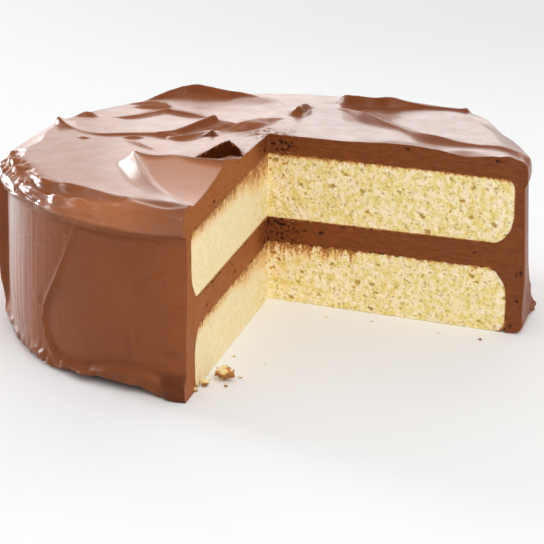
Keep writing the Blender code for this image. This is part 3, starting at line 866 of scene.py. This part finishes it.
def top_shape(x, y):
    """The swirled top at each x, y: its level, and how far its crests lean sideways."""
    degrees, drops, starts = np.array(EDGE_DROPS, float).T
    start = smooth_between(degrees, starts, degrees_round(x, y))
    out = np.clip((np.hypot(x, y) - start) / (SIDE_RADIUS - start), 0, 1.3)
    level = TOP_LEVEL + 0.3 * np.sin(x / 23 + 1) * np.sin(y / 19)
    level = level - smooth_between(degrees, drops, degrees_round(x, y)) * out**1.3
    level = level + 0.12 * lumps(3, 17, x, y) + 0.015 * lumps(4, 5, x, y)
    torn = near(degrees_round(x, y), 214, 9) * ease((np.hypot(x, y) - 107) / 6)
    level = level + torn * (0.8 - 3.2 * np.abs(lumps(31, 3.8, x, y)))
    crumpled = near(degrees_round(x, y), 226, 16) * ease((np.hypot(x, y) - 109) / 4)
    level = level + 0.55 * lumps(34, 2.4, x, y) * crumpled
    level = level + 0.8 * lumps(33, 2.4, x, y) * near(np.hypot(x - TIP[0], y - TIP[1]), 0, 11)
    lean_x, lean_y = np.zeros((2, *x.shape))
    for stroke in STROKES:
        rise, push_x, push_y = stroke_shape(x, y, *stroke)
        level, lean_x, lean_y = level + rise, lean_x + push_x, lean_y + push_y
    level, push_x, push_y = scooped(x, y, level)
    return level, lean_x + push_x, lean_y + push_y


def painted_light_on_front_rim(x, y):
    """1 on the front of the rim, where the frosting is painted paler: painted light."""
    return near(degrees_round(x, y), 254, 13) * ease((np.hypot(x, y) - 110) / 7)


def painted_light_and_gloss(x, y):
    """Painted light and shade on the top, and its gloss: paler in the big scoop, on the left and on the rim's
    front, darker in the cavities under torn curls.
    """
    distance, side, *_ = nearest_on(FRONT_SCOOP, x, y)
    # Painted light: the big scoop's hollow is painted paler.
    marks = {"pale": (side > 0) * ease(distance / 5), "torn": 0 * x}
    # Painted shade: the cavities under the torn flap and curl are painted dark.
    for (path, face, back, hollow, *_), how in ((TORN_FLAP, 1.0), (SECOND_CURL, 0.5)):
        distance, side, *_ = nearest_on(path, x, y)
        shaded_cavity = how * (side > 0) * ease(1.6 - distance / (0.5 * hollow))
        marks["torn"] = np.maximum(marks["torn"], shaded_cavity)
    steep = 0 * x
    for path, face, back, hollow, dug, lean in CRESTS:
        distance, side, height, _ = nearest_on(path, x, y)
        lifted = np.clip(np.abs(height) / 2.5, 0, 1)
        steep = np.maximum(steep, lifted * (side > 0) * ease(1.5 - distance / face))
    crumpled = near(degrees_round(x, y), 222, 16) * ease((np.hypot(x, y) - 106) / 5)
    marks["shine"] = (0.5 - 0.5 * marks["torn"]) * (1 - 0.65 * steep) * (1 - 0.55 * crumpled)
    marks["shine"] = marks["shine"] + 0.5 * near(np.hypot(x + 41, y + 62), 0, 9) * (marks["pale"] < 0.2)
    # Painted light: the top's left side is painted paler, less on steep crest faces and torn cavities.
    painted_lit_side = 0.33 * ease((20 - x) / 50) * (1 - steep) * (1 - marks["torn"])
    marks["pale"] = np.maximum(marks["pale"], painted_lit_side)
    # Painted light on the rim's front.
    marks["pale"] = np.maximum(marks["pale"], painted_light_on_front_rim(x, y) * (1 - marks["torn"]))
    return marks


def top_points(angles, reach):
    """Points of the swirled top, and their marks. At the two cuts they stay in its plane."""
    x, y = (c.ravel() for c in place(angles, reach, 0.0)[..., :2].transpose(2, 0, 1))
    level, lean_x, lean_y = (v.reshape(reach.shape) for v in top_shape(x, y))
    along = lean_x * np.cos(angles) + lean_y * np.sin(angles)
    across = lean_y * np.cos(angles) - lean_x * np.sin(angles)
    at_cut = (angles == RIGHT_CUT) | (angles == LEFT_CUT)
    fade = ease(reach / 6)
    points = place(angles, reach + along * fade, level)
    across = np.where(at_cut, 0, across) * fade
    points[..., 0] -= across * np.sin(angles)
    points[..., 1] += across * np.cos(angles)
    return points, painted_light_and_gloss(x, y)


def wall_swell(angle, level):
    """How far the side stands out past its radius: the spatula's ridges and upright streaks, a
    ragged foot, and an edge at the left cut that the knife drew in."""
    degrees = np.degrees(angle)
    about = SIDE_RADIUS * angle
    from_left_cut = np.degrees(LEFT_CUT) - degrees
    ragged = 2.0 * near(degrees, 7, 3) * near(level, 13, 8) + 4.6 * near(degrees, 13, 2.6) * near(level, 4, 5)
    ragged = ragged * (1 + 0.5 * lumps(15, 2.6, about, level))
    drawn_in = -3.0 * near(from_left_cut, 0, 3) * near(level, 50, 22)
    foot = 2.4 * ease((6.5 - from_left_cut) / 2.5) * ease((11 - level) / 5)
    foot = foot * (1 + 0.25 * lumps(16, 3.0, about, level))
    waves = 0.7 * np.sin(11 * angle) * near(level, 0, 8)
    broad = 0.35 * lumps(7, 1.0, about / 34, level / 60)
    streaks = 0.05 + 0.2 * near(degrees, 224, 13)
    streaks = streaks * lumps(8, 1.0, about / 2.2, level / 60)
    flattened = -1.6 * near(degrees, 212, 7)
    rough_foot = (0.8 + 1.4 * near(degrees, 236, 22)) * lumps(9, 4.0, about, level) * near(level, 0, 8)
    rough_foot = np.minimum(rough_foot, 0.8 + 2 * near(degrees, 236, 18))
    out = ragged + drawn_in + foot + waves + broad + streaks + flattened + rough_foot
    flat_about, flat_level = np.ravel(about), np.ravel(np.broadcast_to(level, about.shape))
    for path, *widths in SIDE_RIDGES:
        round_path = [(math.radians(d + 360) * SIDE_RADIUS, z, h) for d, z, h in path]
        out = out + stroke_shape(flat_about, flat_level, round_path, *widths)[0].reshape(out.shape)
    return out


def lip_reach(angles):
    """How far the rim's lip stands out over the side."""
    return 0.9 + 1.5 * np.cos(angles - math.radians(245))


def rim_and_wall(angles, last_top):
    """From the end of the top round the lip and down the side: reach and level by rows."""
    side = reach_to_circle(angles, SIDE_RADIUS)
    lip = lip_reach(angles)
    rim = last_top[..., 2]
    before = np.hypot(last_top[..., 0] - TIP[0], last_top[..., 1] - TIP[1])
    low = np.minimum(LIP_LOW_LEVEL + 0.8 * np.sin(5 * angles), rim - 6)
    marks = [
        (before, rim),
        (side + lip - 1.6, rim - 0.9),
        (side + lip - 0.5, rim - 2.7),
        (side + lip, low + 2.4),
        (side + 0.4 * lip - 0.6, low - 0.2),
    ]
    wall = ((66.0, -0.8), (54.0, -0.3), (40.0, 0.3), (24.0, 0.9), (10.0, 0.6), (3.0, 0.9), (0.0, -0.6))
    foot_lift = np.clip(0.8 + 1.4 * lumps(12, 9.0, SIDE_RADIUS * angles), 0, 3)
    foot_lift = foot_lift + 3.4 * near(np.degrees(angles), 256, 9)
    foot_lift = foot_lift * ease((np.degrees(LEFT_CUT - angles) - 4.5) / 2.5)
    for level, out in wall:
        level = np.full_like(angles, level)
        marks.append((side + out, level + foot_lift * near(level, 0, 3)))
    rows = curve_through(np.array([np.stack(np.broadcast_arrays(*m), -1) for m in marks]),
                         RIM_STEPS + WALL_STEPS)[1:]
    reach, level = rows[..., 0], rows[..., 1]
    round_angle = np.arctan2(TIP[1] + reach * np.sin(angles), TIP[0] + reach * np.cos(angles))
    round_angle = round_angle + 2 * math.pi * (round_angle < RIGHT_CUT - 0.2)
    below_lip = ease((LIP_LOW_LEVEL + 6 - level) / 3)
    about = SIDE_RADIUS * round_angle
    wrinkled = near(np.degrees(round_angle), 243, 24) * near(level, 71.5, 4)
    folds = lumps(13, 1.0, about / 16, level / 2.0 + about / 30) + 0.5 * lumps(14, 1.0, about / 6, level)
    reach = reach + wall_swell(round_angle, level) * below_lip + 1.5 * wrinkled * folds
    return reach, level, wall_marks(np.degrees(round_angle), level)


def wall_marks(degrees, level):
    """How the side's frosting looks: dull, but shiny at the left where the blade rubbed it, and painted paler on
    the front of the lip, as painted light. It is darker at the left cut's foot."""
    on_lip = ease((level - 65) / 4)
    # The left cut's foot is painted darker, carried in the torn mark.
    darker_foot = 0.6 * ease((degrees - np.degrees(LEFT_CUT) + 7.5) / 3) * ease((13 - level) / 4)
    shine = 0.23 + 0.77 * near(degrees, 221, 7)
    return {
        "shine": shine + (0.5 - 0.2 * near(degrees, 222, 16) - 0.2 * near(degrees, 0, 18) - shine) * on_lip,
        # Painted light: the front of the lip is painted paler.
        "pale": on_lip * near(degrees, 254, 13),
        "torn": darker_foot,
    }


def inside_of_coat(angles, rows_top, rows_rim, rows_wall):
    """The coat's inner side by rows, matched to its outer rows: over the upper layer, round its
    edge, down past the filling and to the table."""
    upper_reach, lower_reach = upper_side(angles), lower_side(angles)
    top = leaning(UPPER_TOP_LEVEL, angles, upper_reach)
    above = leaning(FILLING_TOP_LEVEL, angles, upper_reach)
    below = leaning(FILLING_BOTTOM_LEVEL, angles, lower_reach)
    end_up = dome_up(END_INSET)
    marks = [
        (share * (upper_reach - PAN_IN),
         leaning(UPPER_TOP_LEVEL, angles, share * upper_reach) + crown(share * upper_reach))
        for share in (0, 0.25, 0.5, 0.75, 1)
    ]
    marks += [
        (upper_reach - edge_inset(DOME_UP, fall), top - fall) for fall in (0.5, 1.6, 3.2, PAN_UP)
    ]
    marks += [(upper_reach - edge_inset(rise, PAN_UP), above + rise) for rise in (DOME_UP, 11.0, end_up)]
    marks += [(lower_reach - edge_inset(rise, PAN_UP), below - rise) for rise in (end_up, 11.0, DOME_UP)]
    marks.append((lower_reach, 0 * top))
    turn, foot = rows_top + rows_rim, rows_top + rows_rim + rows_wall
    spots = [*np.linspace(0, rows_top, 5), *np.linspace(rows_top, turn, 5)[1:]]
    spots += [turn + rows_wall * s for s in (0.18, 0.26, 0.34, 0.62, 0.67, 0.72, 1.0)]
    rows = np.arange(foot + 1)
    inner = np.array([np.stack(np.broadcast_arrays(*m), -1) for m in marks])
    pick = np.clip(np.searchsorted(spots, rows, side="right") - 1, 0, len(spots) - 2)
    spots = np.array(spots)
    share = ((rows - spots[pick]) / (spots[pick + 1] - spots[pick]))[:, None, None]
    line = inner[pick] * (1 - share) + inner[pick + 1] * share
    return line[..., 0], line[..., 1]


def coat_angles():
    """The columns' angles, closer together where the side curves to the left and front."""
    even = np.linspace(0, 1, COAT_COLUMNS + 1)
    return RIGHT_CUT + (LEFT_CUT - RIGHT_CUT) * (even + 0.045 * np.sin(math.pi * even) ** 2)


def make_coat(materials):
    dough = Dough()
    angles = coat_angles()
    end = reach_to_circle(angles, SIDE_RADIUS) + lip_reach(angles) - LIP_TUCK
    first, last, above = [], [], None
    for start, stop, rows, step in TOP_BANDS:
        shares = np.linspace(start, stop, rows + 1)[:, None]
        if above is not None:
            shares = shares[1:]
        band, marks = top_points(angles[None, ::step], shares * end[None, ::step])
        numbers = dough.add(band, **marks)
        dough.sheet(numbers)
        if above is not None:
            dough.join(above, numbers[0])
        above = numbers[-1]
        first += numbers[:, 0].tolist()
        last += numbers[:, -1].tolist()
    reach, level, marks = rim_and_wall(angles, band[-1])
    wall_points = place(angles, reach, level)
    for axis, low, high in ((0, -120.3, 121.3), (1, -122.3, 119.3)):
        wall_points[..., axis] = np.clip(wall_points[..., axis], low, high)
    wall = dough.add(wall_points, **marks)
    dough.sheet(np.vstack([above, wall]))
    first += wall[:, 0].tolist()
    last += wall[:, -1].tolist()

    rows_top = sum(rows for _, _, rows, _ in TOP_BANDS)
    spare = COAT_COLUMNS // COAT_THROUGH
    inner_angles = angles[::spare]
    inner_reach, inner_level = inside_of_coat(
        inner_angles, rows_top, sum(RIM_STEPS), sum(WALL_STEPS))
    turn = rows_top + sum(RIM_STEPS)
    for column, seed in ((0, 21), (-1, 25)):
        inner_level[3:rows_top, column] += ragged_edge(seed, inner_reach[3:rows_top, column])
        inner_reach[turn:, column] += 0.7 * ragged_edge(seed, inner_level[turn:, column])
    inner = dough.add(place(inner_angles, inner_reach, inner_level))
    dough.sheet(inner)
    dough.join(inner[-1], wall[-1])

    points = np.concatenate(dough.points)
    across = np.linspace(0, 1, COAT_THROUGH + 1)[1:-1, None, None]
    for outer_row, inner_row, angle, side in (
        (first, inner[:, 0], RIGHT_CUT, 1), (last, inner[:, -1], LEFT_CUT, -1),
    ):
        face = points[outer_row] * (1 - across) + points[inner_row] * across
        reach = np.hypot(face[..., 0] - TIP[0], face[..., 1] - TIP[1])
        level = face[..., 2]
        fade = ease(np.minimum(across, 1 - across)[..., 0] * 6) * ease(reach / 2)
        inward, marks = knife_lines(side, reach, level)
        marks["open"] = marks["open"] * fade
        numbers = dough.add(place(angle, reach, level, inward * fade, side), **marks)
        dough.sheet(np.vstack([outer_row, numbers, inner_row]), 1)
    return dough.baked("frosting_coat", materials)


def spread_frosting(name, dark, light, pale, torn):
    """Frosting that a blade smoothed: half glossy, with a thin buttery film on it. It is painted paler in the big
    scoop, on the top's left side and on the front of the rim and lip, as painted light, and painted darker in the
    cavities under torn curls, as painted shade, and at the left cut's foot."""
    material = bpy.data.materials.new(name)
    material.use_nodes = True
    shader = frosting_shader(material, 0.42, 0.25, 0.06)
    tone = spread(material, grain_of(material, 26), (0.35, dark), (0.65, light))
    # Painted light: paler in the big scoop, on the top's left side and on the rim's front.
    tone = mixed(material, mark_of(material, "pale"), tone, pale)
    # Painted shade in the cavities under torn curls; darker at the left cut's foot.
    tone = mixed(material, mark_of(material, "torn"), tone, torn)
    wire(material, tone, shader.inputs["Base Color"])
    for socket, from_least, to_most in (("Coat Weight", 0.0, 0.42), ("Specular IOR Level", 0.15, 0.25)):
        sheen = node(
            material, "ShaderNodeMapRange", From_Min=from_least, From_Max=0.5, To_Max=to_most)
        sheen.clamp = socket == "Coat Weight"
        wire(material, mark_of(material, "shine"), sheen.inputs["Value"])
        wire(material, sheen.outputs["Result"], shader.inputs[socket])
    pits = spread(material, grain_of(material, 1.7, 2.0), (0.28, (0, 0, 0)), (0.35, (1, 1, 1)))
    pitted = node(material, "ShaderNodeBump", Strength=0.8, Distance=0.3 * MM)
    wire(material, pits, pitted.inputs["Height"])
    wire(material, shader.inputs["Normal"].links[0].from_socket, pitted.inputs["Normal"])
    wire(material, pitted.outputs["Normal"], shader.inputs["Normal"])
    shader.inputs["Coat Roughness"].default_value = 0.2
    return material


# Dark, light, the painted-light colour and the painted-shade colour.
skin_frosting = spread_frosting(
    "skin_frosting", (0.205, 0.0585, 0.018), (0.235, 0.067, 0.021), (0.41, 0.135, 0.042),
    (0.055, 0.012, 0.003))
coat = make_coat([skin_frosting, cut_frosting])
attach(coat, "root")
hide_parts("frosting")


# ---------------------------------------------------------------- crumbs
# What the knife left on the plate in the open quarter: one torn bit of sponge with frosting on
# it, and a few small crumbs. They are loose and lie where they fell.

# x, y, length and how brown
CRUMBS = (
    (11.2, -93.2, 7.6, 0.5), (5.6, -101.6, 4.2, 0.4), (3.4, -108.0, 2.6, 0.3),
    (16.4, -88.8, 1.6, 0.1), (8.6, -86.4, 1.2, 0.0), (13.8, -99.6, 1.3, 0.8),
    (21.5, -72.0, 1.0, 0.0), (6.2, -66.5, 1.1, 0.1), (31.0, -7.2, 1.2, 0.0),
    (52.0, -6.4, 0.9, 0.2), (84.0, -12.6, 1.1, 0.0), (103.0, -15.4, 1.6, 0.9),
)
CRUMB_FLAT = 0.62


def crumb_blobs(materials):
    dough = Dough()
    around, up = np.meshgrid(np.linspace(0, 2 * math.pi, 25), np.linspace(-math.pi / 2, math.pi / 2, 15))
    ball = np.stack([np.cos(up) * np.cos(around), np.cos(up) * np.sin(around), np.sin(up)], -1)
    for number, (x, y, length, brown) in enumerate(CRUMBS):
        shape = 1 + 0.5 * lumps(200 + number, 0.7, *(ball[..., axis] for axis in range(3)))
        shape = shape + 0.35 * lumps(230 + number, 0.3, *(ball[..., axis] for axis in range(3)))
        blob = ball * shape[..., None] * length / 2 * (1, 0.75, CRUMB_FLAT)
        turn = 1.3 * number
        turned = np.stack([
            x + blob[..., 0] * math.cos(turn) - blob[..., 1] * math.sin(turn),
            y + blob[..., 0] * math.sin(turn) + blob[..., 1] * math.cos(turn),
            blob[..., 2] - blob[..., 2].min(),
        ], -1)
        turned[:, -1] = turned[:, 0]
        patch = 2.0 * brown + 1.2 * lumps(260 + number, 0.8, *(ball[..., axis] for axis in range(3)))
        patch = 0.8 * ease(patch - 1.4 * ball[..., 2])
        numbers = dough.add(turned, smear=patch * (brown > 0), open=0 * shape, torn=0 * shape + 0.75)
        dough.sheet(numbers)
    return dough.baked("crumbs", materials)


crumbs = crumb_blobs([sponge])
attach(crumbs, "root")
